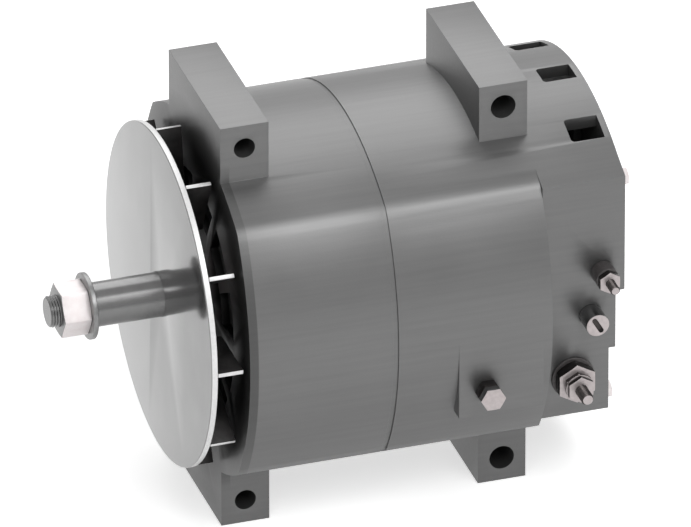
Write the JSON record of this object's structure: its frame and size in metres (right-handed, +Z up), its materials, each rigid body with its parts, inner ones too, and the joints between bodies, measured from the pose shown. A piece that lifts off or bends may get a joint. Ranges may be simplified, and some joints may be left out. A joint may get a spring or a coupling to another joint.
{
  "type": "alternator",
  "caption": "Heavy-duty alternator: square cast housing with two pairs of lugs, fan on a bare threaded shaft end, stud terminals and a slotted adjuster beside the rear edge.",
  "frame": {"origin": "on the shaft's axis at the front face of the fan disc, which is the seat of a pulley's hub", "axes": "-X along the shaft out of the drive end, +Z up through the upper lugs, -Y towards the side that carries the terminals"},
  "size_m": [0.2767, 0.1868, 0.223],
  "materials": {
    "cast_aluminium": "as cast, lightly brushed",
    "rolled_steel": "zinc plated",
    "dark_steel": "blackened",
    "bearing_steel": "ground",
    "pressed_steel": "plated",
    "lamination_steel": "varnished",
    "forged_iron": "machined",
    "enamelled_copper": "varnished",
    "bare_copper": "polished",
    "cage_brass": "satin",
    "black_moulding": "moulded",
    "carbon": "pressed carbon",
    "sink_aluminium": "extruded",
    "tin_case": "tinned",
    "spring_steel": "drawn"
  },
  "bodies": {
    "housing": {"front_frame": "cast_aluminium", "rear_frame": "cast_aluminium", "through_bolts": "rolled_steel", "rear_cap": "pressed_steel", "stator_core": "lamination_steel", "stator_winding": "enamelled_copper", "phase_leads": "bare_copper", "front_outer_race": "bearing_steel", "front_shields": "pressed_steel", "bearing_retainer": "pressed_steel", "retainer_screws": "rolled_steel", "rear_outer_race": "bearing_steel", "rear_shields": "pressed_steel", "brush_holder": "black_moulding", "brush_holder_screws": "rolled_steel", "front_brush_spring": "spring_steel", "rear_brush_spring": "spring_steel", "positive_heat_sink": "sink_aluminium", "negative_heat_sink": "sink_aluminium", "sink_insulators": "black_moulding", "sink_screws": "rolled_steel", "positive_diodes": "tin_case", "negative_diodes": "tin_case", "capacitor": "tin_case", "regulator": "black_moulding", "output_strap": "bare_copper", "strap_screw": "rolled_steel", "output_stud": "dark_steel", "output_insulator": "black_moulding", "output_base_nut": "rolled_steel", "output_clamp_nut": "rolled_steel", "small_stud": "dark_steel", "small_insulator": "black_moulding", "small_nut": "rolled_steel", "ground_bolt": "rolled_steel", "ground_nut": "dark_steel"},
    "rotor": {"shaft": "rolled_steel", "shaft_nut": "rolled_steel", "shaft_washer": "dark_steel", "fan_disc": "pressed_steel", "fan_blades": "pressed_steel", "fan_spacer": "rolled_steel", "front_inner_race": "bearing_steel", "rear_inner_race": "bearing_steel", "front_pole": "forged_iron", "rear_pole": "forged_iron", "coil_bobbin": "black_moulding", "field_coil": "enamelled_copper", "slip_ring_sleeve": "black_moulding", "slip_rings": "bare_copper"},
    "front_ball_set": {"front_balls": "bearing_steel", "front_cage": "cage_brass"},
    "rear_ball_set": {"rear_balls": "bearing_steel", "rear_cage": "cage_brass"},
    "front_brush_set": {"front_brush": "carbon"},
    "rear_brush_set": {"rear_brush": "carbon"},
    "adjuster": {"voltage_adjuster": "rolled_steel"}
  },
  "joints": [
    {"name": "rotor_spin", "type": "hinge", "parent": "housing", "child": "rotor", "pos_m": [0, 0, 0], "axis": [1, 0, 0], "continuous": true},
    {"name": "front_ball_orbit", "type": "hinge", "parent": "housing", "child": "front_ball_set", "pos_m": [0, 0, 0], "axis": [1, 0, 0], "continuous": true},
    {"name": "rear_ball_orbit", "type": "hinge", "parent": "housing", "child": "rear_ball_set", "pos_m": [0, 0, 0], "axis": [1, 0, 0], "continuous": true},
    {"name": "front_brush_slide", "type": "slide", "parent": "housing", "child": "front_brush_set", "axis": [0, 0, 1], "range_m": [0, 0.005], "stiffness_N_per_m": 200, "springref_m": -0.004, "deforming": ["front_brush_spring"]},
    {"name": "rear_brush_slide", "type": "slide", "parent": "housing", "child": "rear_brush_set", "axis": [0, 0, 1], "range_m": [0, 0.005], "stiffness_N_per_m": 200, "springref_m": -0.004, "deforming": ["rear_brush_spring"]},
    {"name": "adjuster_turn", "type": "hinge", "parent": "housing", "child": "adjuster", "pos_m": [0.1984, -0.0715, -0.0076], "axis": [0, -1, 0], "range_deg": [-135, 135]}
  ],
  "couplings": [
    {"joint": "front_ball_orbit", "follows": "rotor_spin", "ratio": 0.36782},
    {"joint": "rear_ball_orbit", "follows": "rotor_spin", "ratio": 0.38246}
  ]
}
